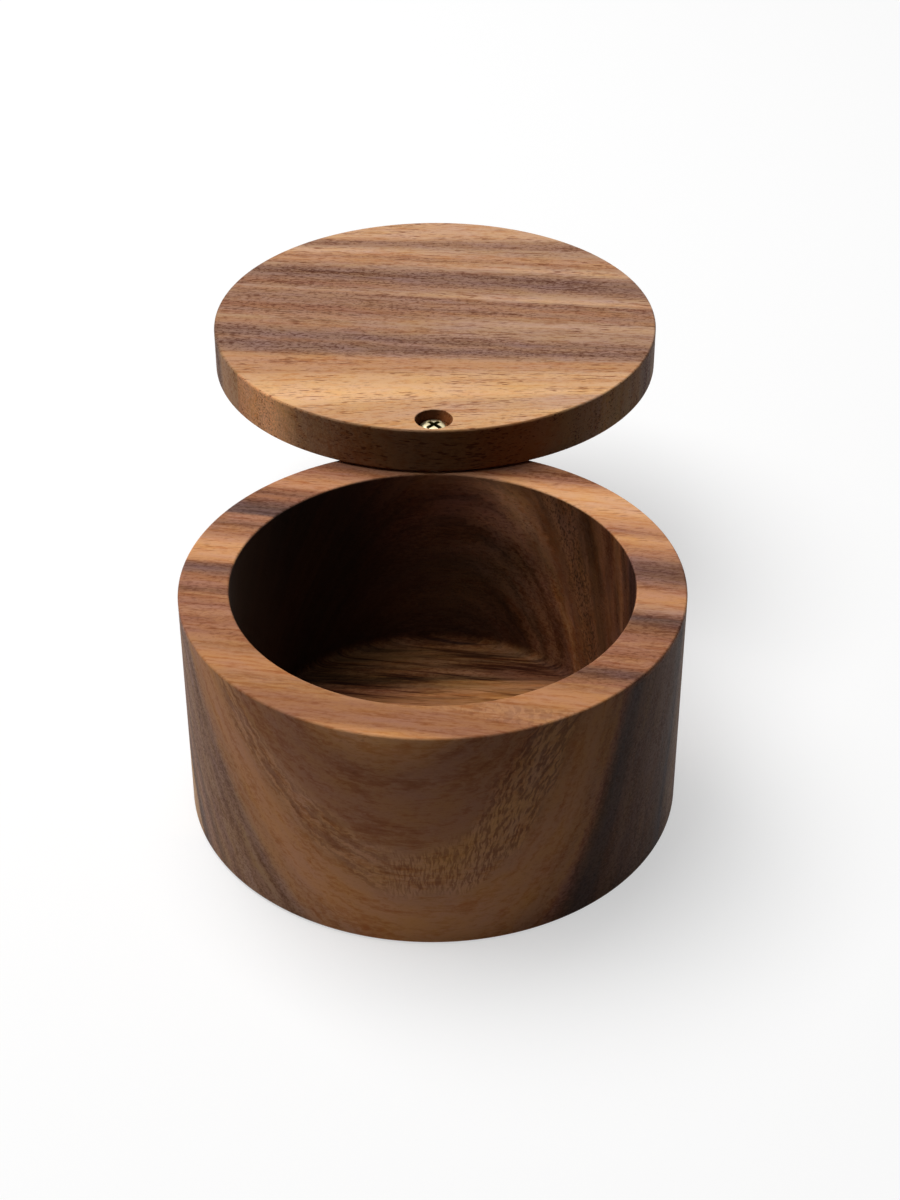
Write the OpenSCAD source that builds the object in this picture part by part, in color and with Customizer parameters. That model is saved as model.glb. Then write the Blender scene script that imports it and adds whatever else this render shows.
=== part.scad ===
// Round salt box turned from solid acacia, with a flat lid that swivels on one screw.
// Origin: centre of the underside. +Z is up, the pivot is at the back (+Y), and the lid is swung fully open.

/* [Box] */
// Outer diameter of the box
box_d = 100; // [84:1:130]
// Height of the box from its foot to its rim
box_h = 50; // [36:1:80]
// Thickness of the side wall
wall = 10; // [9.2:0.2:14]
// Thickness of the floor under the cavity
floor_t = 6.5; // [4:0.5:12]
// Radius left by the cutter where the wall meets the floor
cavity_fillet = 2; // [0.6:0.2:4]

/* [Lid] */
// How far the edge of the lid stands out past the side of the box
lid_overhang = 0; // [0:0.5:3]
// Thickness of the lid
lid_t = 10; // [7:0.5:14]

/* [Edges] */
// Sanded radius on the edges of the rim and the lid
edge_ease = 0.5; // [0.2:0.1:1]
// Sanded radius round the foot of the box
foot_ease = 0.9; // [0.2:0.1:2]

/* [Pivot] */
// Swing of the lid away from closed, in degrees
lid_swing = 180; // [0:5:355]
// Diameter of the pocket that sinks the screw head into the lid
pocket_d = 8; // [7.6:0.1:8.6]
// Depth of that pocket
pocket_depth = 3.6; // [2.8:0.1:4.4]
// Radial clearance between the lid and the screw's shank
pivot_clearance = 0.2; // [0.1:0.05:0.35]
// Play under the screw head, so that the lid turns freely
head_play = 0.1; // [0.05:0.05:0.2]

/* [Screw] */
// Diameter of the screw's plain shank
shank_d = 3.5; // [3:0.1:4]
// Outer diameter of the threaded length
thread_d = 3.4; // [2.8:0.1:3.9]
// Diameter of the pan head
head_d = 7; // [6:0.1:7.4]
// Height of the pan head
head_h = 2.2; // [1.8:0.1:2.6]
// Height of the head's straight rim below its dome
head_rim_h = 0.9; // [0.6:0.1:1.2]
// Length under the head
screw_length = 25; // [20:1:32]
// Length of the plain shank under the head
shank_length = 9; // [7.5:0.5:14]
// Length of the pointed tip
tip_length = 4; // [3:0.5:6]
// Clearance between the screw and the hole that it has cut in the wood
seat_clearance = 0.05; // [0.02:0.01:0.1]

/* [Cross recess] */
// Width of the cross from tip to tip at the top of the head
cross_d = 4.2; // [3.4:0.1:4.6]
// Width of the cross from tip to tip at its bottom
cross_foot_d = 1.8; // [1.2:0.1:2.4]
// Width of each slot of the cross
cross_slot = 0.95; // [0.7:0.05:1.1]
// Depth of the cross below the crown of the head
cross_depth = 2; // [1.4:0.1:2.2]

/* [Glide washer] */
// Outer diameter of the washer between lid and rim
washer_d = 8; // [6.5:0.1:8.6]
// Thickness of the washer
washer_t = 0.4; // [0.2:0.1:0.8]
// Radial clearance between the washer and the shank
washer_clearance = 0.15; // [0.1:0.05:0.3]
// Running gap between the washer and the lid
glide_gap = 0.05; // [0.02:0.01:0.1]

/* [Hidden] */
$fn = 96;
overcut = 1;                           // how far a cutter runs past the face that it opens

box_r = box_d / 2;
cavity_r = box_r - wall;
pivot_r = box_r - wall / 2;            // the screw stands in the middle of the wall
lid_r = box_r + lid_overhang;
lid_bottom = box_h + washer_t + glide_gap;
lid_top = lid_bottom + lid_t;
pocket_floor = lid_top - pocket_depth;
head_seat = pocket_floor + head_play;  // underside of the screw head
head_top = head_seat + head_h;
lid_hole_d = shank_d + 2 * pivot_clearance;
washer_hole_d = shank_d + 2 * washer_clearance;
shank_hole_d = shank_d + 2 * seat_clearance;
thread_hole_d = thread_d + 2 * seat_clearance;
shank_foot = head_seat - shank_length;
screw_tip = head_seat - screw_length;
tip_flat_d = 0.4;                      // blunt end of the tip
small_fn = 64;                         // facets of the small round parts
dome_fn = 256;                         // facets of the shallow dome of the screw head

// Cutter that rounds an outside corner of a profile to radius r. The corner is at [0, 0] and the
// material lies on the side that dir_x and dir_z point to.
module round_corner(r, dir_x, dir_z) {
    difference() {
        translate([dir_x * (r - overcut) / 2, dir_z * (r - overcut) / 2])
            square([r + overcut, r + overcut], center = true);
        translate([dir_x * r, dir_z * r]) circle(r = r, $fn = small_fn);
    }
}

// Fillet of radius r that fills the inside corner at [0, 0], towards -X and +Z
module inside_fillet(r) {
    difference() {
        translate([-r, 0]) square([r, r]);
        translate([-r, r]) circle(r = r, $fn = small_fn);
    }
}

// Half section of the box: foot, floor, side wall, rim and the fillet inside
module box_section() {
    difference() {
        union() {
            square([box_r, floor_t]);
            translate([cavity_r, 0]) square([wall, box_h]);
            translate([cavity_r, floor_t]) inside_fillet(cavity_fillet);
        }
        translate([box_r, box_h]) round_corner(edge_ease, -1, -1);
        translate([cavity_r, box_h]) round_corner(edge_ease, 1, -1);
        translate([box_r, 0]) round_corner(foot_ease, -1, 1);
    }
}

// Half section of the lid, a flat disc with both edges sanded
module lid_section() {
    difference() {
        square([lid_r, lid_t]);
        translate([lid_r, lid_t]) round_corner(edge_ease, -1, -1);
        translate([lid_r, 0]) round_corner(edge_ease, -1, 1);
    }
}

// Outline of the screw below its head: plain shank, threaded length and pointed tip.
// grow widens it into the hole that the screw has cut.
module screw_stem(plain_d, thread_outer_d, grow = 0) {
    translate([0, 0, shank_foot])
        cylinder(d = plain_d, h = head_seat - shank_foot, $fn = small_fn);
    translate([0, 0, screw_tip + tip_length])
        cylinder(d = thread_outer_d, h = shank_foot - screw_tip - tip_length, $fn = small_fn);
    translate([0, 0, screw_tip - grow])
        cylinder(d1 = tip_flat_d + 2 * grow, d2 = thread_outer_d, h = tip_length + grow, $fn = small_fn);
}

// Half section of the pan head: straight rim, then a dome up to the crown
module head_section() {
    dome_h = head_h - head_rim_h;
    dome_r = (pow(head_d / 2, 2) + pow(dome_h, 2)) / (2 * dome_h);
    square([head_d / 2, head_rim_h]);
    intersection() {
        translate([0, head_h - dome_r]) circle(r = dome_r, $fn = dome_fn);
        translate([0, head_rim_h]) square([head_d / 2, dome_h]);
    }
}

// One of the two crossed, tapered slots of the cross recess
module recess_slot() {
    flare = (cross_d - cross_foot_d) / 2 / cross_depth * overcut;
    rotate([90, 0, 0])
        linear_extrude(height = cross_slot, center = true)
            polygon([
                [-cross_foot_d / 2, -cross_depth],
                [cross_foot_d / 2, -cross_depth],
                [cross_d / 2 + flare, overcut],
                [-cross_d / 2 - flare, overcut]
            ]);
}

// Cross recess with its arms on the diagonals
module cross_recess() {
    for (turn = [45, 135])
        rotate([0, 0, turn]) recess_slot();
}

// Turned box with the hole that the screw has cut into the middle of its wall at the back
module box() {
    color("sienna")
        difference() {
            rotate_extrude() box_section();
            translate([0, pivot_r, 0])
                intersection() {
                    screw_stem(shank_hole_d, thread_hole_d, seat_clearance);
                    cylinder(d = head_d, h = box_h + overcut);
                }
        }
}

// Lid with its screw pocket and shank hole, swung about the pivot
module lid() {
    color("peru")
        translate([0, pivot_r, lid_bottom])
            rotate([0, 0, lid_swing])
                difference() {
                    translate([0, -pivot_r, 0]) rotate_extrude() lid_section();
                    translate([0, 0, -overcut])
                        cylinder(d = lid_hole_d, h = lid_t + 2 * overcut, $fn = small_fn);
                    translate([0, 0, lid_t - pocket_depth])
                        cylinder(d = pocket_d, h = pocket_depth + overcut, $fn = small_fn);
                }
}

// Pan head wood screw that the lid turns on
module pivot_screw() {
    color("khaki")
        translate([0, pivot_r, 0])
            difference() {
                union() {
                    screw_stem(shank_d, thread_d);
                    translate([0, 0, head_seat]) rotate_extrude($fn = small_fn) head_section();
                }
                translate([0, 0, head_top]) cross_recess();
            }
}

// Thin washer that keeps the lid off the rim
module glide_washer() {
    color("ivory")
        translate([0, pivot_r, box_h])
            difference() {
                cylinder(d = washer_d, h = washer_t, $fn = small_fn);
                translate([0, 0, -overcut])
                    cylinder(d = washer_hole_d, h = washer_t + 2 * overcut, $fn = small_fn);
            }
}

box();
lid();
pivot_screw();
glide_washer();
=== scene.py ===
import math

import bpy
from mathutils import Matrix, Vector


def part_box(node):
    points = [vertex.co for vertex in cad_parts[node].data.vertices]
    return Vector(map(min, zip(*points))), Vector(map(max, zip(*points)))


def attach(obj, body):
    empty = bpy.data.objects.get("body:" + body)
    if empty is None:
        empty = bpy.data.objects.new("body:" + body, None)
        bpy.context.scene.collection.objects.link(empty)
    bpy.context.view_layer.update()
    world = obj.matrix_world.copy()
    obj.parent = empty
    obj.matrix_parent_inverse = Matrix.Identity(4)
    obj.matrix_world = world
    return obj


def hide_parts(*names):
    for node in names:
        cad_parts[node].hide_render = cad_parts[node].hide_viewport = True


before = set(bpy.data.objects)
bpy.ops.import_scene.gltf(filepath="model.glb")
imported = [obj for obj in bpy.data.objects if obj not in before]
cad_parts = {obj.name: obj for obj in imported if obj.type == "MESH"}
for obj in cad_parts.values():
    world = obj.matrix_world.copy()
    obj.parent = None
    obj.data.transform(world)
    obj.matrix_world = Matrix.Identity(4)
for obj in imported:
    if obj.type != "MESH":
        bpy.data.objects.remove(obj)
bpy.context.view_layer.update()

mm = 0.001


# Node wiring: a Wire is an output socket that can be added, multiplied and so on

class Wire:
    def __init__(self, tree, socket):
        self.tree = tree
        self.socket = socket

    def __add__(self, other):
        return calc(self.tree, "ADD", self, other)

    def __sub__(self, other):
        return calc(self.tree, "SUBTRACT", self, other)

    def __mul__(self, other):
        return calc(self.tree, "MULTIPLY", self, other)

    def __truediv__(self, other):
        return calc(self.tree, "DIVIDE", self, other)

    __radd__ = __add__
    __rmul__ = __mul__

    def __rsub__(self, other):
        return calc(self.tree, "SUBTRACT", other, self)

    def __rtruediv__(self, other):
        return calc(self.tree, "DIVIDE", other, self)


def feed(tree, socket, value):
    if isinstance(value, Wire):
        tree.links.new(value.socket, socket)
    else:
        socket.default_value = value


def addNode(tree, kind, inputs=None, **settings):
    node = tree.nodes.new(kind)
    for name, value in settings.items():
        setattr(node, name, value)
    for key, value in (inputs or {}).items():
        feed(tree, node.inputs[key], value)
    return node


def wireOf(tree, node, output=0):
    return Wire(tree, node.outputs[output])


def calc(tree, operation, *values):
    node = addNode(tree, "ShaderNodeMath", dict(enumerate(values)), operation=operation)
    return wireOf(tree, node)


def combine(tree, x, y, z):
    return wireOf(tree, addNode(tree, "ShaderNodeCombineXYZ", {0: x, 1: y, 2: z}))


def separate(tree, vector):
    node = addNode(tree, "ShaderNodeSeparateXYZ", {0: vector})
    return [wireOf(tree, node, axis) for axis in range(3)]


def fade(tree, value, start, end):
    # 0 below start, 1 above end, smooth between
    node = addNode(tree, "ShaderNodeMapRange", {"Value": value, "From Min": start, "From Max": end},
                   interpolation_type="SMOOTHSTEP")
    return wireOf(tree, node)


def between(tree, value, rise, fall):
    # 1 where the value is past the rise and before the fall
    return fade(tree, value, *rise) * fade(tree, value, *fall)


# Turned and threaded forms, made by Geometry Nodes

turning = {
    "segments": 192,                       # steps round the box and the lid
    "boreSegments": 64,
    "holeSegments": 48,
    "screwSegments": 48,
    "arcSteps": 6,                         # steps in each eased edge
    "fineArcSteps": 5,
    "spindle": 0.02,                       # radius of the path that a section is carried along
    "weld": 0.002 * mm,
    "crispBend": 32,                       # degrees; edges that bend by more stay crisp
    "overshoot": 1 * mm,                   # how far a cutter stands out of the piece
}


def startTree(name, sizeNames):
    tree = bpy.data.node_groups.new(name, "GeometryNodeTree")
    tree.interface.new_socket("Geometry", in_out="OUTPUT", socket_type="NodeSocketGeometry")
    for sizeName in sizeNames:
        tree.interface.new_socket(sizeName, in_out="INPUT", socket_type="NodeSocketFloat")
    tree.interface.new_socket("Material", in_out="INPUT", socket_type="NodeSocketMaterial")
    groupIn = addNode(tree, "NodeGroupInput")
    return tree, {socket.name: Wire(tree, socket) for socket in groupIn.outputs if socket.name}


def finishTree(tree, form, material):
    smooth = wireOf(tree, addNode(tree, "GeometryNodeSetShadeSmooth", {"Geometry": form}))
    bend = wireOf(tree, addNode(tree, "GeometryNodeInputMeshEdgeAngle"))
    crisp = calc(tree, "GREATER_THAN", bend, math.radians(turning["crispBend"]))
    edged = addNode(tree, "GeometryNodeSetShadeSmooth",
                    {"Geometry": smooth, "Selection": crisp, "Shade Smooth": False}, domain="EDGE")
    solid = wireOf(tree, addNode(tree, "GeometryNodeRealizeInstances", {"Geometry": wireOf(tree, edged)}))
    coated = addNode(tree, "GeometryNodeSetMaterial", {"Geometry": solid, "Material": material})
    addNode(tree, "NodeGroupOutput", {0: wireOf(tree, coated)})


def pick(tree, dataType, values):
    # value number i at point number i
    index = wireOf(tree, addNode(tree, "GeometryNodeInputIndex"))
    node = addNode(tree, "GeometryNodeIndexSwitch", data_type=dataType)
    while len(node.index_switch_items) < len(values):
        node.index_switch_items.new()
    feed(tree, node.inputs[0], index)
    for number, value in enumerate(values):
        feed(tree, node.inputs[number + 1], value)
    return wireOf(tree, node)


def lathe(tree, corners, segments, arcSteps):
    # corners run counterclockwise round the half section: radius, height, edge radius, cuts to the next
    spindle = turning["spindle"]
    line = addNode(tree, "GeometryNodeMeshLine", {"Count": len(corners)})
    places = [combine(tree, radius - spindle, 0.0 - height, 0.0) for radius, height, ease, cuts in corners]
    shaped = addNode(tree, "GeometryNodeSetPosition",
                     {"Geometry": wireOf(tree, line), "Position": pick(tree, "VECTOR", places)})
    eased = addNode(tree, "GeometryNodeStoreNamedAttribute",
                    {"Geometry": wireOf(tree, shaped), "Name": "ease",
                     "Value": pick(tree, "FLOAT", [ease for radius, height, ease, cuts in corners])},
                    data_type="FLOAT", domain="POINT")
    outline = addNode(tree, "GeometryNodeMeshToCurve", {"Mesh": wireOf(tree, eased)})
    cut = addNode(tree, "GeometryNodeSubdivideCurve",
                  {"Curve": wireOf(tree, outline),
                   "Cuts": pick(tree, "INT", [cuts for radius, height, ease, cuts in corners])})
    ease = addNode(tree, "GeometryNodeInputNamedAttribute", {"Name": "ease"}, data_type="FLOAT")
    rounded = addNode(tree, "GeometryNodeFilletCurve",
                      {"Curve": wireOf(tree, cut), "Count": arcSteps, "Radius": wireOf(tree, ease),
                       "Limit Radius": True}, mode="POLY")
    path = addNode(tree, "GeometryNodeCurvePrimitiveCircle", {"Resolution": segments, "Radius": spindle})
    swept = addNode(tree, "GeometryNodeCurveToMesh",
                    {"Curve": wireOf(tree, path), "Profile Curve": wireOf(tree, rounded)})
    outward = addNode(tree, "GeometryNodeFlipFaces", {"Mesh": wireOf(tree, swept)})
    closed = addNode(tree, "GeometryNodeMergeByDistance",
                     {"Geometry": wireOf(tree, outward), "Distance": turning["weld"]})
    return wireOf(tree, closed)


def shift(tree, form, offset=(0, 0, 0), turn=(0, 0, 0)):
    node = addNode(tree, "GeometryNodeTransform",
                   {"Geometry": form, "Translation": offset, "Rotation": turn})
    return wireOf(tree, node)


def carve(tree, form, cutters):
    node = addNode(tree, "GeometryNodeMeshBoolean", {"Mesh 1": form},
                   operation="DIFFERENCE", solver="EXACT")
    for cutter in cutters:
        tree.links.new(cutter.socket, node.inputs["Mesh 2"])
    return wireOf(tree, node)


def growPiece(name, tree, sizes, material, offset):
    piece = bpy.data.objects.new(name, bpy.data.meshes.new(name))
    bpy.context.collection.objects.link(piece)
    form = piece.modifiers.new("form", "NODES")
    form.node_group = tree
    for item in tree.interface.items_tree:
        if item.in_out == "INPUT":
            form[item.identifier] = material if item.name == "Material" else sizes[item.name]
    weights = piece.modifiers.new("flatFaces", "WEIGHTED_NORMAL")
    weights.keep_sharp = True
    evaluated = piece.evaluated_get(bpy.context.evaluated_depsgraph_get())
    plain = bpy.data.meshes.new_from_object(evaluated)
    piece.modifiers.clear()
    piece.data = plain
    plain.name = name
    while plain.materials[0] is None:
        plain.materials.pop(index=0)
    plain.transform(Matrix.Translation(offset))
    print("made", name, len(plain.polygons), "faces")
    return piece


# Colours as they look on the top surfaces, in full light

def tint(code):
    # "#rrggbb" to linear red, green and blue
    parts = [int(code[i:i + 2], 16) / 255 for i in (1, 3, 5)]
    return tuple(part / 12.92 if part < 0.04045 else ((part + 0.055) / 1.055) ** 2.4 for part in parts)


woodTones = {
    "cream": "#f2be8a",
    "honey": "#e9b685",
    "gold": "#dcab7c",
    "wheat": "#cf9c70",
    "blond": "#cea17e",
    "straw": "#d8a272",
    "sand": "#be967a",
    "amber": "#b8855b",
    "toffee": "#a97b55",
    "hazel": "#a07860",
    "bark": "#9d6e4d",
    "tan": "#c08d66",
    "oat": "#b18a6e",
    "fawn": "#ab7c5d",
    "russet": "#9a6b50",
    "mauve": "#8f6c5b",
    "umber": "#876048",
    "cocoa": "#755648",
    "plum": "#675049",
}


def noise(tree, vector, detail=2.0, roughness=0.5):
    # centred on 0, mostly within -0.25 to 0.25
    node = addNode(tree, "ShaderNodeTexNoise",
                   {"Vector": vector, "Scale": 1.0, "Detail": detail, "Roughness": roughness})
    return wireOf(tree, node) - 0.5


def clamp(tree, value):
    node = addNode(tree, "ShaderNodeClamp", {"Value": value})
    return wireOf(tree, node)


def mixColours(tree, factor, first, second, blend="MIX"):
    # first and second are wires, or codes such as "#9a7260"
    node = addNode(tree, "ShaderNodeMix", data_type="RGBA", blend_type=blend)
    feed(tree, node.inputs["Factor"], factor)
    for key, value in ((6, first), (7, second)):
        feed(tree, node.inputs[key], value if isinstance(value, Wire) else (*tint(value), 1.0))
    return wireOf(tree, node, 2)


def tinted(tree, factor, colour, by):
    # the colour multiplied by another one, as far as the factor says
    return mixColours(tree, factor, colour, by, "MULTIPLY")


rampSteps = 30                             # a ramp has room for 32 stops
rampBlend = 0.05                           # mm over which two ramps meet


def bandRamp(tree, layer, bands):
    # colour of each growth layer; a long list takes several ramps
    colour = None
    for first in range(0, len(bands) - 1, rampSteps):
        run = bands[first:first + rampSteps + 1]
        low, high = run[0][0], run[-1][0]
        ramp = addNode(tree, "ShaderNodeValToRGB", {"Fac": (layer - low) / (high - low)})
        stops = ramp.color_ramp.elements
        while len(stops) < len(run):
            stops.new(1.0)
        for stop, (place, tone) in zip(stops, run):
            stop.position = (place - low) / (high - low)
            stop.color = (*tint(woodTones[tone]), 1.0)
        if colour is None:
            colour = wireOf(tree, ramp)
        else:
            past = fade(tree, layer, low - rampBlend, low + rampBlend)
            colour = mixColours(tree, past, colour, wireOf(tree, ramp))
    return colour


def startMaterial(name):
    material = bpy.data.materials.new(name)
    material.use_nodes = True
    tree = material.node_tree
    tree.nodes.clear()
    output = addNode(tree, "ShaderNodeOutputMaterial")
    return material, tree, output


def millimetres(tree, centre=(0, 0, 0)):
    # object coordinates in millimetres from a centre
    coords = addNode(tree, "ShaderNodeTexCoord")
    mapping = addNode(tree, "ShaderNodeMapping",
                      {"Vector": Wire(tree, coords.outputs["Object"]),
                       "Location": tuple(-part / mm for part in centre),
                       "Scale": (1 / mm, 1 / mm, 1 / mm)})
    return wireOf(tree, mapping)


# The wood. Places are in mm from the centre of the block: x to the right, y away, z upwards.
# Each pattern: how tightly it is packed along the fibres, across them and upwards, detail, roughness.

weave = {
    "drift": (0.012, 0.04, 0.03, 1.0, 0.5),
    "fray": (0.09, 0.9, 0.5, 3.0, 0.65),
    "streaks": (0.05, 0.8, 0.1, 4.0, 0.65),
    "threads": (0.2, 1.6, 1.2, 3.0, 0.6),
    "mottle": (0.6, 1.3, 1.3, 2.0, 0.6),
    "blush": (0.09, 0.3, 0.1, 3.0, 0.6),
    "dashes": (0.3, 2.4, 2.4, 1.0, 0.5),
    "specks": (0.85, 2.0, 2.0, 2.0, 0.6),
    "crowd": (0.05, 0.4, 0.1, 2.0, 0.5),
    "wander": (0.12, 0.3, 0.12, 1.0, 0.5),
    "crinkle": (0.45, 0.8, 0.55, 1.0, 0.5),
    "strokes": (1.0, 0.55, 0.45, 1.0, 0.5),
    "lines": (0.22, 1.9, 0.2, 2.0, 0.6),
    "crumbs": (2.4, 0.9, 0.9, 2.0, 0.6),
    "scrapes": (0.03, 0.5, 0.06, 4.0, 0.65),
    "grit": (2.0, 2.0, 1.2, 2.0, 0.6),
    "flecks": (0.3, 0.3, 2.4, 2.0, 0.6),
    "floorStreaks": (0.035, 0.7, 1.0, 3.0, 0.6),
    "endGrain": (2.4, 2.4, 1.8, 2.0, 0.7),
}


def woven(tree, pattern, x, y, z, apart=0.0):
    # apart moves a pattern across the fibres, so that it differs from the others
    along, across, up, detail, roughness = weave[pattern]
    side = y * across
    if apart:
        side = side + apart
    return noise(tree, combine(tree, x * along, side, z * up), detail, roughness)


grain = {
    "darkFade": (0.34, 0.14),              # brightness from which wood counts as dark
    "paleFade": (0.56, 0.36),              # brightness up to which streaks stay strong
    "paleCalm": 0.55,                      # what is left of the streaks in the palest wood
    "dashFade": (0.10, 0.22),
    "speckFade": (0.04, 0.16),
    "paleSpecks": 0.3,                     # what is left of the specks in pale wood
    "dashCrowd": 0.5,                      # how much the pores gather in some layers
    "speckCrowd": 0.3,
    "smoothStreaks": 0.1,                  # how much weaker streaks and pores are in smooth layers
    "smoothPores": 0.7,
    "blushRed": 0.12,
    "rippleRed": 0.85,
    "poreTint": "#9a7260",
    "roughness": 0.54,
    "streakRoughness": 0.15,
    "poreRoughness": 0.2,
    "specular": 0.06,
    "bumpDepth": 0.08 * mm,
    "threadRelief": 0.5,
    "mottleRelief": 0.3,
    "rippleRelief": 0.4,
}


def woodMaterial(name, centre, figure):
    material, tree, output = startMaterial(name)
    x, y, z = separate(tree, millimetres(tree, centre))

    # the growth layers: planes along the fibres that lean and twist, drift slowly and fray a little
    offPeak = y - figure["leanPeak"]
    lean = figure["lean"] - offPeak * offPeak * figure["leanFall"]
    tilt = figure["tilt"] - x * figure["twist"]
    drift = woven(tree, "drift", x, y, z) * figure["drift"]
    fray = woven(tree, "fray", x, y, z) * figure["fray"]
    plain = y + x * lean - tilt * (z - figure["hinge"])
    layer = plain + drift + fray
    colour = figure["colour"](tree, layer, x, y, z)
    bright = wireOf(tree, addNode(tree, "ShaderNodeRGBToBW", {0: colour}))
    dark = fade(tree, bright, *grain["darkFade"])

    # long streaks and short threads, finer across the fibres than along them; pale wood is calmer
    streaks = woven(tree, "streaks", x, layer, z)
    threads = woven(tree, "threads", x, layer, z)
    mottle = woven(tree, "mottle", x, y, z)
    calm = grain["paleCalm"] + (1 - grain["paleCalm"]) * fade(tree, bright, *grain["paleFade"])
    fromSmooth = calc(tree, "ABSOLUTE", layer - figure["smoothAt"])
    smooth = fade(tree, fromSmooth, figure["smoothReach"], figure["smoothReach"] * 0.5)
    calm = calm * (1.0 - smooth * grain["smoothStreaks"])
    wave = streaks * figure["streaks"] + threads * figure["threads"] + mottle * figure["mottle"]
    wave = calc(tree, "MINIMUM", wave * calm + 0.02, figure["shine"])
    gamma = addNode(tree, "ShaderNodeGamma", {0: colour, 1: 1.0 - wave})

    # redder and yellower patches, and the curly fibres
    blush = woven(tree, "blush", x, layer, z, 20.0) * figure["blush"]
    ripple = figure["ripple"](tree, layer, x, y, z) * figure["ripples"]
    red = (1.0 + ripple * grain["rippleRed"]) * (1.0 + blush * grain["blushRed"])
    blue = (1.0 + ripple) * (1.0 - blush)
    colour = tinted(tree, 1.0, wireOf(tree, gamma), combine(tree, red, 1.0 + ripple, blue))

    # open pores: dashes in pale wood, dense specks in dark wood
    crowd = woven(tree, "crowd", x, layer, z)
    dashed = woven(tree, "dashes", x, y, z) + crowd * grain["dashCrowd"]
    dashes = fade(tree, dashed, *grain["dashFade"])
    speckled = woven(tree, "specks", x, y, z, 7.0) + crowd * grain["speckCrowd"] + dark * 0.05
    inDark = grain["paleSpecks"] + dark * (1 - grain["paleSpecks"])
    specks = fade(tree, speckled, *grain["speckFade"]) * inDark
    pores = calc(tree, "MAXIMUM", dashes, specks) * (1.0 - smooth * grain["smoothPores"])
    pores = pores * figure["pores"]
    colour = tinted(tree, pores, colour, grain["poreTint"])
    colour = tinted(tree, 1.0, figure["cut"](tree, colour, layer, x, y, z), figure["stain"])

    rough = grain["roughness"] + streaks * grain["streakRoughness"] + pores * grain["poreRoughness"]
    shader = addNode(tree, "ShaderNodeBsdfPrincipled",
                     {"Base Color": colour, "Roughness": rough, "Specular IOR Level": grain["specular"]})
    relief = threads * grain["threadRelief"] + mottle * grain["mottleRelief"]
    relief = relief + ripple * grain["rippleRelief"] - pores
    bump = addNode(tree, "ShaderNodeBump",
                   {"Strength": figure["relief"], "Distance": grain["bumpDepth"], "Height": relief})
    feed(tree, shader.inputs["Normal"], wireOf(tree, bump))
    feed(tree, output.inputs["Surface"], wireOf(tree, shader))
    return material


boxFigure = {
    "lean": 0.05, "leanPeak": 0.0, "leanFall": 0.0,
    "tilt": 0.35, "twist": 0.004, "hinge": 16.0,
    "drift": 2.0, "fray": 1.6,
    "streaks": 1.5, "threads": 0.9, "mottle": 0.5, "shine": 0.05,
    "ripples": 0.5, "pores": 0.45, "relief": 0.5, "blush": 1.0,
    # the layer round which the wood is smooth, with fewer pores
    "smoothAt": -51.0, "smoothReach": 14.0,
    "stain": "#fff5f2",
    # layers at the front of the block, then further back on its left and on its right
    "front": [(-66, "straw"), (-63, "straw"), (-61, "amber"), (-59.4, "bark"), (-57.6, "bark"),
              (-55.4, "bark"), (-54, "bark"), (-52.4, "toffee"), (-49, "toffee"), (-47, "amber"),
              (-43.6, "amber"), (-41.6, "toffee"), (-40, "toffee")],
    "left": [(-40, "toffee"), (-38.6, "fawn"), (-37, "russet"), (-35.5, "fawn"), (-33.6, "russet"),
             (-31, "fawn"), (-29.5, "fawn"), (-27.5, "russet"), (-25, "fawn"), (-23, "umber"),
             (-21.8, "russet"), (-20.2, "fawn"), (-18.5, "russet"), (-17, "mauve"), (-15.6, "cocoa"),
             (-14, "umber"), (-13, "tan"), (-10.5, "wheat"), (-6, "wheat"), (-3.5, "fawn"),
             (-0.8, "fawn"), (1, "umber"), (3.4, "fawn"), (4.6, "fawn"), (5.6, "plum"), (8.4, "plum"),
             (10, "cocoa"), (12.6, "russet"), (14.2, "umber"), (16, "russet"), (18, "tan"), (20, "tan"),
             (23, "fawn"), (25.5, "russet"), (28, "umber"), (32, "russet"), (36, "fawn"), (42, "russet"),
             (50, "umber"), (60, "fawn")],
    "right": [(-41, "toffee"), (-39.6, "russet"), (-38, "umber"), (-36.8, "cocoa"), (-35.2, "cocoa"),
              (-33.8, "russet"), (-31.8, "fawn"), (-30.6, "russet"), (-29, "russet"), (-26, "fawn"),
              (-24, "russet"), (-20.4, "umber"), (-18.6, "cocoa"), (-17.2, "plum"), (-16, "umber"),
              (-14.4, "oat"), (-11, "tan"), (-9, "tan"), (-6.5, "fawn"), (-4, "mauve"), (-2, "cocoa"),
              (0.5, "cocoa"), (3, "mauve"), (5, "fawn"), (8.4, "tan"), (10, "wheat"), (12.6, "fawn"),
              (14.2, "tan"), (18, "wheat"), (20, "gold"), (26, "gold"), (28, "wheat"), (30.6, "russet"),
              (33, "umber"), (37, "fawn"), (42, "russet"), (50, "umber"), (60, "fawn")],
    "split": -40.3,                        # layer where the front list ends
    # a cool cast on the left outside below the rim, and painted shade with a grey sheen on the right
    # outside, between these layers
    "castLeft": "#dcf0fc",
    # painted shade and grey sheen on the outside right
    "shadeAndSheenRight": "#9ea6ae",
    "tintAndShadeFrom": (-40.6, -37.6),
    "tintAndShadeTo": (6.0, -8.0),
}


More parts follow.
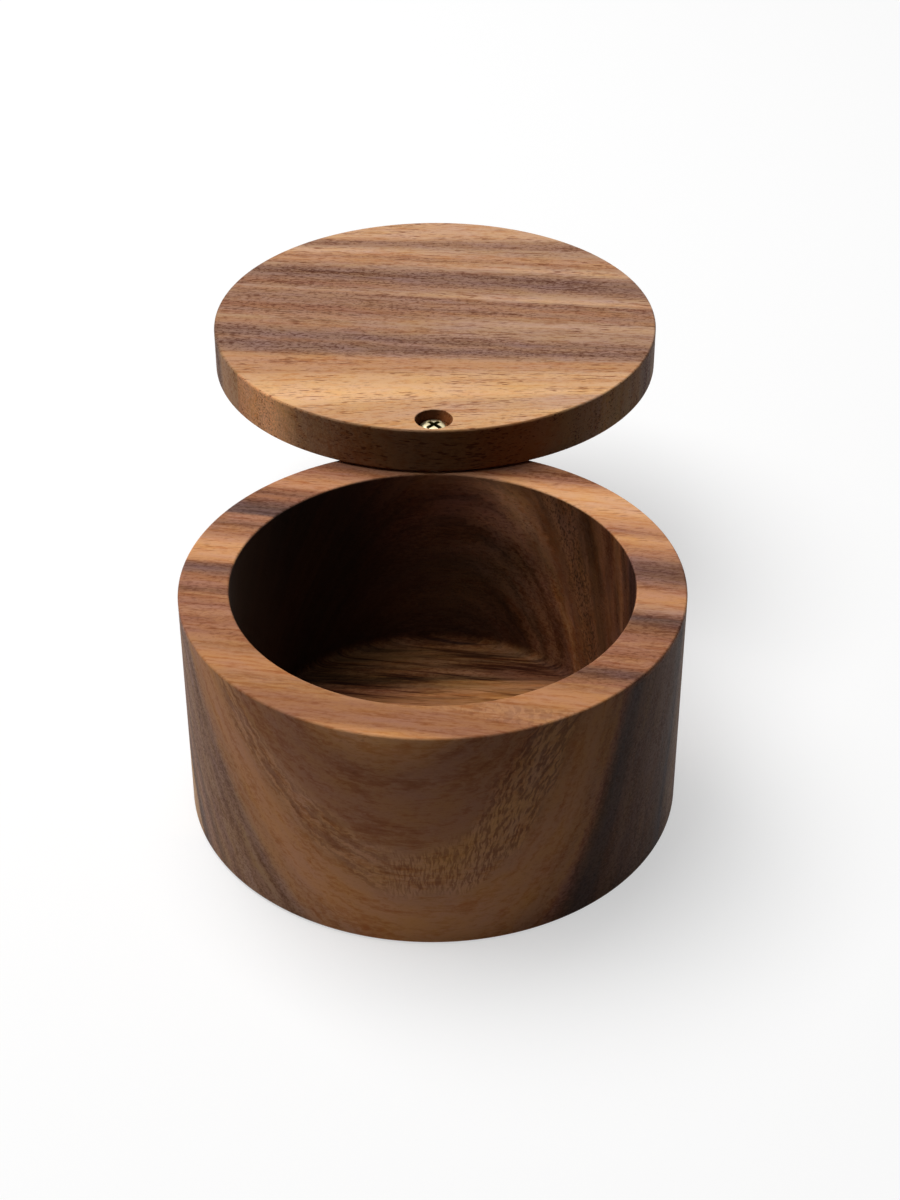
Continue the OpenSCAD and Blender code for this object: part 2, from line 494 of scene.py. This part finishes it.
def boxColour(tree, layer, x, y, z):
    # the two sides of the block differ
    front = bandRamp(tree, layer, boxFigure["front"])
    left = bandRamp(tree, layer, boxFigure["left"])
    right = bandRamp(tree, layer, boxFigure["right"])
    onRight = fade(tree, x, -18.0, 18.0)
    sides = mixColours(tree, onRight, left, right)
    # a cool cast on the left, painted shade and grey sheen on the right
    tintAndShade = mixColours(tree, onRight, boxFigure["castLeft"], boxFigure["shadeAndSheenRight"])
    radius = calc(tree, "SQRT", x * x + y * y)
    outside = fade(tree, radius, 44.0, 47.0) * fade(tree, z, 49.7, 48.4)
    tintedAndShaded = outside * between(tree, layer, boxFigure["tintAndShadeFrom"], boxFigure["tintAndShadeTo"])
    sides = tinted(tree, tintedAndShaded, sides, tintAndShade)
    past = fade(tree, layer, boxFigure["split"] - 0.3, boxFigure["split"] + 0.3)
    return mixColours(tree, past, front, sides)


curl = {
    "from": (-53.4, -51.9),                # layers between which the curly fibres lie
    "to": (-47.8, -49.4),
    "wander": 3.0,
    "crinkle": 2.2,
    "fan": 2.5,                            # how far the strokes spread to both sides
    "fanFall": 0.036,                      # less of it with each mm of height
    "fanFrom": 16.0,
    "crumbs": 0.7,
    "middle": 0.56,                        # strokes above this are pale, the others dark
    "moreOnRight": 0.45,
    "lessOnRim": 0.65,
}


def boxRipple(tree, layer, x, y, z):
    # curly fibres where the front cuts through the outermost layers: short crinkled strokes that fan out,
    # and lines along the layers on the left
    wander = woven(tree, "wander", x, layer, z) * curl["wander"]
    onRight = fade(tree, x, 2.0, 14.0)
    wavy = layer + wander
    area = fade(tree, wavy + onRight * 1.8, *curl["from"]) * fade(tree, wavy, *curl["to"])
    crinkle = woven(tree, "crinkle", x, layer, z) * curl["crinkle"]
    fan = x * (curl["fan"] - curl["fanFall"] * (z - curl["fanFrom"])) + crinkle
    strokes = fade(tree, woven(tree, "strokes", fan, layer, z), -0.12, 0.08)
    lines = fade(tree, woven(tree, "lines", x, layer, z, crinkle * 0.6), -0.1, 0.1)
    strokes = strokes + fade(tree, x, -4.0, -12.0) * (lines - strokes)
    crumbs = woven(tree, "crumbs", x, layer, z) * curl["crumbs"]
    onRim = fade(tree, z, 49.3, 49.8)
    strength = area * (1.0 + onRight * curl["moreOnRight"]) * (1.0 - onRim * curl["lessOnRim"])
    return (strokes - curl["middle"] + crumbs) * strength


# The hollow of the box is left as turned: darker than the outside, with stronger streaks. Painted shade
# darkens its left wall and the left of its floor, and painted light brightens the top of its back wall

hollow = {
    "wallBack": "#95a4a4",
    # painted light high on the back wall
    "wallBackPaintedLight": "#fcf6f4",
    "wallRight": "#9e928e",
    # painted shade on the left wall
    "wallLeftShade": "#4a4a4e",
    "floorRight": "#ced0b8",
    # painted shade on the left of the floor
    "floorLeftShade": "#929680",
    "floorFarRight": "#b0a69c",
    "floorFront": "#b8aa98",
    "floorStreaks": "#8f7468",
    "floorSlant": 0.16,
    "wallGrey": "#6c635a",                     # a grey the wall is mixed towards, at its back and its far left
    "wallGreyBack": 0.2,
    "wallGreyLeft": 0.4,
    "scrapes": 3.6,
    "flecks": 0.35,
    # layers where the pale arch and the dark bands of the wall begin and end, and how strong they are
    "archFrom": (27.0, 29.5), "archTo": (38.0, 35.0), "arch": 1.6, "archGold": 0.14,
    "specksFrom": (20.4, 22.6), "specksTo": (26.8, 24.8), "specks": 0.6,
    "darkFrom": (15.6, 17.4), "darkTo": (21.4, 20.0), "darkBand": 0.38,
    "frontTo": (9.0, 7.4), "frontBand": 0.2,
}


def wallTintShadeAndLight(tree, x, y, z):
    # painted light high up on the back wall
    highUpLit = fade(tree, y, 16.0, 38.0) * fade(tree, z, 24.0, 46.0)
    wall = mixColours(tree, highUpLit, hollow["wallBack"], hollow["wallBackPaintedLight"])
    wall = mixColours(tree, fade(tree, x, 4.0, 28.0), wall, hollow["wallRight"])
    # painted shade on the left wall
    return mixColours(tree, fade(tree, x, 2.0, -20.0), wall, hollow["wallLeftShade"])


def floorTintAndShade(tree, x, y):
    # painted shade on the left of the floor
    floor = mixColours(tree, fade(tree, x, 4.0, -26.0), hollow["floorRight"], hollow["floorLeftShade"])
    farRight = fade(tree, x, 6.0, 20.0) * fade(tree, y, 34.0, 28.0)
    floor = mixColours(tree, farRight, floor, hollow["floorFarRight"])
    return mixColours(tree, fade(tree, y, 26.0, 20.0), floor, hollow["floorFront"])


def boxCut(tree, colour, layer, x, y, z):
    radius = calc(tree, "SQRT", x * x + y * y)
    inside = fade(tree, radius, 40.4, 40.2) * fade(tree, z, 49.9, 49.6)
    onWall = fade(tree, z, 7.0, 9.5)
    shade = mixColours(tree, onWall, floorTintAndShade(tree, x, y), wallTintShadeAndLight(tree, x, y, z))
    # on the right of the wall a pale arch and three dark bands, one of them full of specks
    onRight = fade(tree, x, 2.0, 20.0)
    arch = between(tree, layer, hollow["archFrom"], hollow["archTo"]) * hollow["arch"]
    grit = fade(tree, woven(tree, "grit", x, y, z), -0.02, 0.12) * hollow["specks"] - 0.05
    speckled = between(tree, layer, hollow["specksFrom"], hollow["specksTo"]) * grit
    darkBand = between(tree, layer, hollow["darkFrom"], hollow["darkTo"]) * hollow["darkBand"]
    frontBand = fade(tree, layer, *hollow["frontTo"]) * hollow["frontBand"]
    # short pale flecks on the wall, and scrapes all over the hollow
    flecks = fade(tree, woven(tree, "flecks", x, y, z), 0.12, 0.24) * hollow["flecks"]
    lift = 1.0 + onWall * (onRight * (arch - speckled - darkBand - frontBand) + flecks)
    lift = lift * (1.0 + woven(tree, "scrapes", x, layer, z) * (hollow["scrapes"] - onWall))
    golden = lift * (1.0 + onRight * arch * onWall * hollow["archGold"])
    shade = tinted(tree, 1.0, shade, combine(tree, lift, golden, golden))
    worn = tinted(tree, 1.0, colour, shade)
    # slanting dark streaks across the floor
    streaks = woven(tree, "floorStreaks", x, y + x * hollow["floorSlant"], 4.0)
    stained = fade(tree, streaks, -0.01, 0.14) * (1.0 - onWall)
    worn = tinted(tree, stained, worn, hollow["floorStreaks"])
    # the wall is mixed towards grey at its back and at its far left
    greying = fade(tree, x, 20.0, 0.0) * hollow["wallGreyBack"] + fade(tree, x, -30.0, -37.0) * hollow["wallGreyLeft"]
    worn = mixColours(tree, greying * onWall, worn, hollow["wallGrey"])
    return mixColours(tree, inside, colour, worn)


boxFigure["colour"] = boxColour
boxFigure["ripple"] = boxRipple
boxFigure["cut"] = boxCut

lidFigure = {
    "lean": 0.125, "leanPeak": 10.0, "leanFall": 0.0001,
    "tilt": 0.1, "twist": 0.0, "hinge": 10.0,
    "drift": 1.5, "fray": 1.8,
    "streaks": 1.6, "threads": 1.1, "mottle": 0.8, "shine": 0.05,
    "ripples": 0.0, "pores": 0.8, "relief": 0.5, "blush": 0.7,
    # outside the lid, so no part of it is smooth
    "smoothAt": -90.0, "smoothReach": 8.0,
    "stain": "#f8f8f8",
    # layers on the left half of the lid, and on its right half
    "left": [(-52, "wheat"), (-41, "wheat"), (-38.4, "wheat"), (-36.6, "gold"), (-35, "honey"),
             (-33, "cream"), (-31, "honey"), (-28.4, "gold"), (-25.8, "wheat"), (-25.4, "tan"),
             (-22, "tan"), (-19.4, "tan"), (-17.6, "hazel"), (-16, "mauve"), (-14.2, "mauve"),
             (-12.8, "hazel"), (-11.4, "mauve"), (-9.6, "mauve"), (-8, "hazel"), (-6.2, "fawn"),
             (-4, "oat"), (-2.4, "fawn"), (-0.8, "hazel"), (0.8, "russet"), (2.4, "russet"),
             (3.8, "hazel"), (9.4, "hazel"), (10.4, "fawn"), (11.2, "oat"), (12.4, "hazel"),
             (14.4, "russet"), (16.6, "hazel"), (18.6, "mauve"), (20.2, "umber"), (21.8, "mauve"),
             (23.4, "hazel"), (24.8, "oat"), (26.2, "fawn"), (28, "tan"), (30, "fawn"), (31, "tan"),
             (32.4, "blond"), (34, "blond"), (35.4, "oat"), (36.6, "hazel"), (38.6, "hazel"), (40, "tan"),
             (41.4, "blond"), (52, "wheat")],
    "right": [(-52, "gold"), (-44.6, "gold"), (-42.4, "blond"), (-40, "blond"), (-38, "blond"),
              (-36.6, "gold"), (-35, "honey"), (-33, "gold"), (-30.8, "gold"), (-29.2, "wheat"),
              (-26.8, "gold"), (-25, "blond"), (-23.4, "tan"), (-20, "tan"), (-18.6, "oat"),
              (-17, "hazel"), (-15.6, "mauve"), (-12.8, "hazel"), (-11.4, "mauve"), (-9.8, "hazel"),
              (-7.8, "oat"), (-4, "oat"), (-2, "sand"), (-0.6, "sand"), (1, "oat"), (2.4, "fawn"),
              (3.8, "hazel"), (6, "fawn"), (8.2, "hazel"), (9.2, "russet"), (10, "oat"), (11.2, "blond"),
              (12.8, "sand"), (14.4, "oat"), (16, "hazel"), (18.6, "mauve"), (22.4, "mauve"),
              (23.6, "hazel"), (24.8, "oat"), (26.2, "blond"), (27.8, "sand"), (29.4, "fawn"),
              (31, "tan"), (34, "oat"), (35.4, "oat"), (37, "hazel"), (38.6, "hazel"), (40, "oat"),
              (41.4, "blond"), (52, "blond")],
}


def lidColour(tree, layer, x, y, z):
    left = bandRamp(tree, layer, lidFigure["left"])
    right = bandRamp(tree, layer, lidFigure["right"])
    return mixColours(tree, fade(tree, x, -30.0, 30.0), left, right)


def noRipple(tree, layer, x, y, z):
    return 0.0


lidCuts = {
    "plain": "#ffffff",
    "endGrain": "#e8edec",                 # on the left of the edge, behind and before the sharp change
    "endGrainFront": "#ffede4",
    "layersMeet": -25.5,
    "speckle": 1.3,
    "frontEdgeShade": "#b4b0ac",                 # painted shade on the front of the edge, at the screw's end
    # painted shade, warmer, on the right of the front of the edge
    "frontEdgeShadeRight": "#ae9a88",
    "pivotAway": 45.0,                     # from the centre of the lid to the screw
    # painted shade in the bored pocket, on its left and on its right
    "pocketShadeLeft": "#62493f",
    "pocketShadeRight": "#bc9e8a",
}


def lidCut(tree, colour, layer, x, y, z):
    radius = calc(tree, "SQRT", x * x + y * y)
    onEdge = fade(tree, radius, 49.4, 49.8)
    before = fade(tree, y, lidCuts["layersMeet"] + 0.2, lidCuts["layersMeet"] - 0.2)
    endGrain = mixColours(tree, before, lidCuts["endGrain"], lidCuts["endGrainFront"])
    shade = mixColours(tree, fade(tree, x, -16.0, -28.0), lidCuts["plain"], endGrain)
    # painted shade on the front of the edge at the screw's end
    toRight = between(tree, x, (4.0, 13.0), (30.0, 20.0))
    frontEdgeShade = mixColours(tree, toRight, lidCuts["frontEdgeShade"], lidCuts["frontEdgeShadeRight"])
    shade = mixColours(tree, fade(tree, y, -34.0, -43.0), shade, frontEdgeShade)
    cutEdge = tinted(tree, 1.0, colour, shade)
    onLeft = fade(tree, x, -8.0, -24.0) * fade(tree, y, -25.0, -26.0)
    speckle = 1.0 + woven(tree, "endGrain", x, y, z) * onLeft * lidCuts["speckle"]
    cutEdge = tinted(tree, 1.0, cutEdge, combine(tree, speckle, speckle, speckle))
    colour = mixColours(tree, onEdge, colour, cutEdge)
    # the bored pocket is darker end grain with painted shade, deepest on its left
    aside = y + lidCuts["pivotAway"]
    fromScrew = calc(tree, "SQRT", x * x + aside * aside)
    bored = fade(tree, fromScrew, 4.12, 4.06) * fade(tree, z, 9.95, 9.8)
    pocketShade = mixColours(tree, fade(tree, x, 0.0, 3.0), lidCuts["pocketShadeLeft"], lidCuts["pocketShadeRight"])
    return tinted(tree, bored, colour, pocketShade)


lidFigure["colour"] = lidColour
lidFigure["ripple"] = noRipple
lidFigure["cut"] = lidCut

plating = {
    "bright": "#f0e6c6",
    "dull": "#d9c894",
    "recessTone": "#4a4520",
    "roughness": 0.3,
    "hazeRoughness": 0.16,
    "recessRoughness": 0.2,
    "ringsPerMm": 9.0,
    "ringRelief": 0.25,
    "recessReach": 2.7,                    # mm from the axis to the ends of the slots
}


def platedMaterial(name, centre):
    material, tree, output = startMaterial(name)
    place = millimetres(tree, centre)
    x, y, z = separate(tree, place)
    haze = noise(tree, place, 3.0)
    radius = calc(tree, "SQRT", x * x + y * y)
    rings = noise(tree, combine(tree, radius * plating["ringsPerMm"], 0.0, z * plating["ringsPerMm"]), 2.0)
    colour = mixColours(tree, clamp(tree, 0.5 + haze), plating["bright"], plating["dull"])
    # dark olive colour in the recess: below the crown, inside the length of the slots
    part = radius / (screwSizes["Head radius"] / mm)
    crown = screwSizes["Head height"] / mm - part * part * part * part * (screwSizes["Head dome"] / mm)
    within = fade(tree, radius, plating["recessReach"], plating["recessReach"] - 0.3)
    recess = fade(tree, crown - z, 0.06, 0.35) * within * fade(tree, z, 0.0, 0.1)
    colour = mixColours(tree, recess, colour, plating["recessTone"])
    rough = plating["roughness"] + haze * plating["hazeRoughness"] + recess * plating["recessRoughness"]
    shader = addNode(tree, "ShaderNodeBsdfPrincipled",
                     {"Base Color": colour, "Metallic": 1.0, "Roughness": rough})
    bump = addNode(tree, "ShaderNodeBump",
                   {"Strength": plating["ringRelief"], "Distance": 0.02 * mm, "Height": rings})
    feed(tree, shader.inputs["Normal"], wireOf(tree, bump))
    feed(tree, output.inputs["Surface"], wireOf(tree, shader))
    return material


nylon = {
    "pale": "#efe9d8",
    "rubbed": "#d9d0b8",
    "roughness": 0.42,
    "rubbedRoughness": 0.2,
    "ringsPerMm": 5.0,
    "ringRelief": 0.3,
    "milkiness": 0.15,
}


def washerMaterial(name, centre):
    material, tree, output = startMaterial(name)
    x, y = separate(tree, millimetres(tree, centre))[:2]
    radius = calc(tree, "SQRT", x * x + y * y)
    rubbing = noise(tree, combine(tree, radius * nylon["ringsPerMm"], x * 0.2, y * 0.2), 3.0)
    colour = mixColours(tree, clamp(tree, 0.5 + rubbing), nylon["pale"], nylon["rubbed"])
    shader = addNode(tree, "ShaderNodeBsdfPrincipled",
                     {"Base Color": colour,
                      "Roughness": nylon["roughness"] + rubbing * nylon["rubbedRoughness"],
                      "Subsurface Weight": nylon["milkiness"], "Subsurface Scale": 0.5 * mm})
    bump = addNode(tree, "ShaderNodeBump",
                   {"Strength": nylon["ringRelief"], "Distance": 0.02 * mm, "Height": rubbing})
    feed(tree, shader.inputs["Normal"], wireOf(tree, bump))
    feed(tree, output.inputs["Surface"], wireOf(tree, shader))
    return material


# The pieces. Sizes in metres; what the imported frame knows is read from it.

boxLow, boxHigh = (Vector(corner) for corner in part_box("box"))
lidLow, lidHigh = (Vector(corner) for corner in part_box("lid"))
screwLow, screwHigh = (Vector(corner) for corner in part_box("pivot_screw"))
pivot = Vector(((screwLow.x + screwHigh.x) / 2, (screwLow.y + screwHigh.y) / 2, 0))
lidCentre = Vector(((lidLow.x + lidHigh.x) / 2, (lidLow.y + lidHigh.y) / 2, lidLow.z))

boxSizes = {
    "Radius": (boxHigh.x - boxLow.x) / 2,
    "Height": boxHigh.z - boxLow.z,
    "Wall": 10 * mm,
    "Floor": 6.5 * mm,
    "Edge ease": 0.5 * mm,
    "Foot ease": 0.9 * mm,
    "Cutter radius": 2 * mm,
    "Hole radius": 1.8 * mm,
    "Hole depth": 15.5 * mm,
    "Pivot offset": pivot.y,
}

lidSizes = {
    "Radius": (lidHigh.x - lidLow.x) / 2,
    "Thickness": lidHigh.z - lidLow.z,
    "Edge ease": 0.5 * mm,
    "Pocket radius": 4 * mm,
    "Pocket depth": 3.6 * mm,
    "Pocket lip": 0.15 * mm,
    "Hole radius": 1.95 * mm,
    "Pivot offset": lidCentre.y - pivot.y,
}

screwSizes = {
    "Shank radius": 1.75 * mm,
    "Shank length": 9 * mm,
    "Thread radius": 1.7 * mm,
    "Thread depth": 0.5 * mm,
    "Thread pitch": 1.6 * mm,
    "Tip length": 4 * mm,
    "Length": 25 * mm,
    "Head radius": (screwHigh.x - screwLow.x) / 2,
    "Head height": 2.2 * mm,
    "Head dome": 1.3 * mm,                 # from the rim of the head to its crown
    "Recess width": 4.2 * mm,
    "Recess foot": 1.8 * mm,
    "Recess slot": 0.95 * mm,
    "Recess depth": 2 * mm,
}


def boxTree():
    tree, size = startTree("turnedBox", boxSizes)
    radius, height, wall = size["Radius"], size["Height"], size["Wall"]
    edge = size["Edge ease"]
    inner = radius - wall
    body = lathe(tree, [
        (0.0, 0.0, 0.0, 8),
        (radius, 0.0, size["Foot ease"], 10),
        (radius, height, edge, 2),
        (inner, height, edge, 8),
        (inner, size["Floor"], size["Cutter radius"], 8),
        (0.0, size["Floor"], 0.0, 0),
    ], turning["segments"], turning["arcSteps"])
    over = turning["overshoot"]
    hole = lathe(tree, [
        (0.0, height - size["Hole depth"], 0.0, 0),
        (size["Hole radius"], height - size["Hole depth"], 0.0, 0),
        (size["Hole radius"], height + over, 0.0, 0),
        (0.0, height + over, 0.0, 0),
    ], turning["holeSegments"], turning["fineArcSteps"])
    drilled = carve(tree, body, [shift(tree, hole, combine(tree, 0.0, size["Pivot offset"], 0.0))])
    finishTree(tree, drilled, size["Material"])
    return tree


def lidTree():
    tree, size = startTree("turnedLid", lidSizes)
    radius, thick, edge = size["Radius"], size["Thickness"], size["Edge ease"]
    lip, pocket = size["Pocket lip"], size["Pocket radius"]
    disc = lathe(tree, [
        (0.0, 0.0, 0.0, 8),
        (radius, 0.0, edge, 2),
        (radius, thick, edge, 8),
        (0.0, thick, 0.0, 0),
    ], turning["segments"], turning["arcSteps"])
    over = turning["overshoot"]
    floor = thick - size["Pocket depth"]
    pocketEase = 0.2 * mm
    bore = lathe(tree, [
        (0.0, -over, 0.0, 0),
        (size["Hole radius"], -over, 0.0, 0),
        (size["Hole radius"], floor, 0.0, 0),
        (pocket, floor, pocketEase, 0),
        (pocket, thick - lip, 0.0, 0),
        (pocket + lip, thick, 0.0, 0),
        (pocket + lip, thick + over, 0.0, 0),
        (0.0, thick + over, 0.0, 0),
    ], turning["boreSegments"], turning["fineArcSteps"])
    drilled = carve(tree, disc, [shift(tree, bore, combine(tree, 0.0, 0.0 - size["Pivot offset"], 0.0))])
    finishTree(tree, drilled, size["Material"])
    return tree


slotAngles = (45, 135)                     # degrees


def screwTree():
    # origin under the head; the head stands above, the stem hangs below
    tree, size = startTree("panHeadScrew", screwSizes)
    headR, headH, dome = size["Head radius"], size["Head height"], size["Head dome"]
    rootR = size["Thread radius"] - size["Thread depth"]
    tip = 0.0 - size["Length"]
    threadTop = 0.0 - size["Shank length"]
    taperTop = tip + size["Tip length"]
    headRim = headH - dome
    tipRadius = 0.15 * mm
    headEase = 0.15 * mm
    shankStep = 0.4 * mm                   # height of the slope from the shank to the thread
    tipCuts, threadCuts, shankCuts, domeSteps = 24, 90, 4, 14
    crown = []
    for step in range(1, domeSteps):
        part = 1 - step / domeSteps        # from the rim of the head to its middle, which is nearly flat
        crown.append((headR * part, headH - dome * part ** 4, 0.0, 0))
    body = lathe(tree, [
        (0.0, tip, 0.0, 0),
        (tipRadius, tip, 0.0, tipCuts),
        (rootR, taperTop, 0.0, threadCuts),
        (rootR, threadTop, 0.0, 0),
        (size["Shank radius"], threadTop + shankStep, 0.0, shankCuts),
        (size["Shank radius"], 0.0, 0.0, 0),
        (headR, 0.0, headEase, 0),
        (headR, headRim, 0.0, 0),
        *crown,
        (0.0, headH, 0.0, 0),
    ], turning["screwSegments"], turning["fineArcSteps"])

    # the thread grows out of the stem
    x, y, z = separate(tree, wireOf(tree, addNode(tree, "GeometryNodeInputPosition")))
    turn = calc(tree, "ARCTAN2", y, x) / (2 * math.pi)
    phase = calc(tree, "FRACT", z / size["Thread pitch"] - turn)
    ridge = 1.0 - calc(tree, "ABSOLUTE", phase * 2.0 - 1.0)
    ridge = fade(tree, ridge, 0.45, 1.0)
    reach = fade(tree, z, tip, taperTop) * fade(tree, z, threadTop, threadTop - size["Thread pitch"])
    radius = calc(tree, "MAXIMUM", calc(tree, "SQRT", x * x + y * y), 0.01 * mm)
    growth = 1.0 + ridge * reach * size["Thread depth"] / radius
    threaded = addNode(tree, "GeometryNodeSetPosition",
                       {"Geometry": body, "Position": combine(tree, x * growth, y * growth, z)})

    # the two tapered slots of the cross recess
    over = turning["overshoot"]
    slots = []
    for angle in slotAngles:
        block = addNode(tree, "GeometryNodeMeshCube", {"Size": (1, 1, 1)})
        bx, by, bz = separate(tree, wireOf(tree, addNode(tree, "GeometryNodeInputPosition")))
        rise = bz + 0.5
        flare = 1.0 + over / size["Recess depth"]
        width = size["Recess foot"] + (size["Recess width"] - size["Recess foot"]) * rise * flare
        place = combine(tree, bx * width, by * size["Recess slot"],
                        headH - size["Recess depth"] + rise * (size["Recess depth"] + over))
        slot = addNode(tree, "GeometryNodeSetPosition",
                       {"Geometry": wireOf(tree, block), "Position": place})
        slots.append(shift(tree, wireOf(tree, slot), turn=(0, 0, math.radians(angle))))
    recessed = carve(tree, wireOf(tree, threaded), slots)
    finishTree(tree, recessed, size["Material"])
    return tree


headGap = 0.1 * mm                         # the head stays clear of the turning lid
headSeat = Vector((pivot.x, pivot.y, lidHigh.z - lidSizes["Pocket depth"] + headGap))

boxWood = woodMaterial("boxWood", (0, 0, 0), boxFigure)
lidWood = woodMaterial("lidWood", lidCentre, lidFigure)
platedScrew = platedMaterial("platedScrew", headSeat)
washerNylon = washerMaterial("washerNylon", pivot)
print("made the wood, the plating and the nylon")

box = growPiece("saltBox", boxTree(), boxSizes, boxWood, (0, 0, boxLow.z))
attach(box, "box_body")
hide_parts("box")

lid = growPiece("swivelLid", lidTree(), lidSizes, lidWood, lidCentre)
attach(lid, "lid_body")
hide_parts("lid")

screw = growPiece("pivotScrew", screwTree(), screwSizes, platedScrew, headSeat)
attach(screw, "box_body")
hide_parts("pivot_screw")

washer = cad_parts["glide_washer"]
for slot in washer.material_slots:
    slot.material = washerNylon


# Floor, light and camera

stage = {
    "floorSide": 6.0,
    "brightFloor": 0.8,                    # a painted pool of light on the floor for light bounced onto the box: bright close to the box, dark far away
    "darkFloor": 0.03,
    "brightAside": -72.0,                  # mm from the centre of the box towards the left
    "brightReach": 70.0,
    "darkReach": 240.0,
    "shadeDepth": 0.46,                    # how strongly the floor that is seen takes shadows
    "floorGlow": 0.55,
    "lampAim": (0, 0.02, 0.03),
    "lampTurn": 57,                        # degrees from straight behind towards the left
    "lampHeight": 68,                      # degrees above the horizon
    "lampDistance": 1.5,
    "lampSide": 1.2,
    "lampPower": 26.5,
    "skyTurn": 50,                         # degrees from straight behind towards the left
    "skyFront": 0.0,
    "skyBack": 0.11,
}


def seenDirectly(tree):
    # 1 for rays from the camera, a reflection or a refraction
    path = addNode(tree, "ShaderNodeLightPath")
    seen = Wire(tree, path.outputs["Is Camera Ray"])
    for name in ("Is Glossy Ray", "Is Transmission Ray"):
        seen = calc(tree, "MAXIMUM", seen, Wire(tree, path.outputs[name]))
    return seen


def floorMaterial():
    material, tree, output = startMaterial("paleFloor")
    x, y = separate(tree, millimetres(tree))[:2]
    # the floor's bounce colour is a painted pool of light, centred to the left of the box
    aside = x - stage["brightAside"]
    reach = calc(tree, "SQRT", aside * aside + y * y)
    far = fade(tree, reach, stage["brightReach"], stage["darkReach"])
    shade = stage["brightFloor"] + far * (stage["darkFloor"] - stage["brightFloor"])
    lit = addNode(tree, "ShaderNodeBsdfDiffuse", {"Color": combine(tree, shade, shade, shade)})
    depth = stage["shadeDepth"]
    seen = addNode(tree, "ShaderNodeBsdfDiffuse", {"Color": (depth, depth, depth, 1)})
    glow = addNode(tree, "ShaderNodeEmission", {"Color": (1, 1, 1, 1), "Strength": stage["floorGlow"]})
    both = addNode(tree, "ShaderNodeAddShader", {0: wireOf(tree, seen), 1: wireOf(tree, glow)})
    mix = addNode(tree, "ShaderNodeMixShader",
                  {0: seenDirectly(tree), 1: wireOf(tree, lit), 2: wireOf(tree, both)})
    feed(tree, output.inputs["Surface"], wireOf(tree, mix))
    return material


def buildFloor():
    half = stage["floorSide"] / 2
    mesh = bpy.data.meshes.new("floor")
    corners = [(-half, -half, 0), (half, -half, 0), (half, half, 0), (-half, half, 0)]
    mesh.from_pydata(corners, [], [(0, 1, 2, 3)])
    floor = bpy.data.objects.new("floor", mesh)
    bpy.context.collection.objects.link(floor)
    mesh.materials.append(floorMaterial())


def buildLamp():
    lamp = bpy.data.lights.new("softbox", "AREA")
    lamp.shape = "SQUARE"
    lamp.size = stage["lampSide"]
    lamp.energy = stage["lampPower"]
    softbox = bpy.data.objects.new("softbox", lamp)
    bpy.context.collection.objects.link(softbox)
    turn, height = math.radians(stage["lampTurn"]), math.radians(stage["lampHeight"])
    level = math.cos(height)
    towards = Vector((-math.sin(turn) * level, math.cos(turn) * level, math.sin(height)))
    softbox.location = Vector(stage["lampAim"]) + towards * stage["lampDistance"]
    softbox.rotation_euler = (-towards).to_track_quat("-Z", "Y").to_euler()


def buildSky():
    world = bpy.data.worlds.new("studio")
    bpy.context.scene.world = world
    world.use_nodes = True
    tree = world.node_tree
    tree.nodes.clear()
    coords = addNode(tree, "ShaderNodeTexCoord")
    x, y = separate(tree, Wire(tree, coords.outputs["Generated"]))[:2]
    turn = math.radians(stage["skyTurn"])
    behind = y * math.cos(turn) - x * math.sin(turn)
    strength = stage["skyFront"] + fade(tree, behind, -0.6, 0.5) * (stage["skyBack"] - stage["skyFront"])
    soft = addNode(tree, "ShaderNodeBackground", {"Color": (1, 1, 1, 1), "Strength": strength})
    white = addNode(tree, "ShaderNodeBackground", {"Color": (1, 1, 1, 1), "Strength": 1.0})
    mix = addNode(tree, "ShaderNodeMixShader",
                  {0: seenDirectly(tree), 1: wireOf(tree, soft), 2: wireOf(tree, white)})
    addNode(tree, "ShaderNodeOutputWorld", {"Surface": wireOf(tree, mix)})


cameraSizes = {
    "place": (0.0034, -0.3649, 0.3006),
    "lookDown": 34.97,                     # degrees below the horizon
    "lens": 67.49,
    "sensor": 36.0,
    "nearest": 0.01,
    "farthest": 20.0,
}


def buildCamera():
    lens = bpy.data.cameras.new("camera")
    lens.sensor_width = cameraSizes["sensor"]
    lens.lens = cameraSizes["lens"]
    lens.clip_start = cameraSizes["nearest"]
    lens.clip_end = cameraSizes["farthest"]
    camera = bpy.data.objects.new("camera", lens)
    bpy.context.collection.objects.link(camera)
    camera.location = cameraSizes["place"]
    camera.rotation_euler = (math.radians(90 - cameraSizes["lookDown"]), 0, 0)
    bpy.context.scene.camera = camera


buildFloor()
buildLamp()
buildSky()
buildCamera()
print("floor, light and camera are set")
bpy.context.scene.view_settings.view_transform = "Standard"
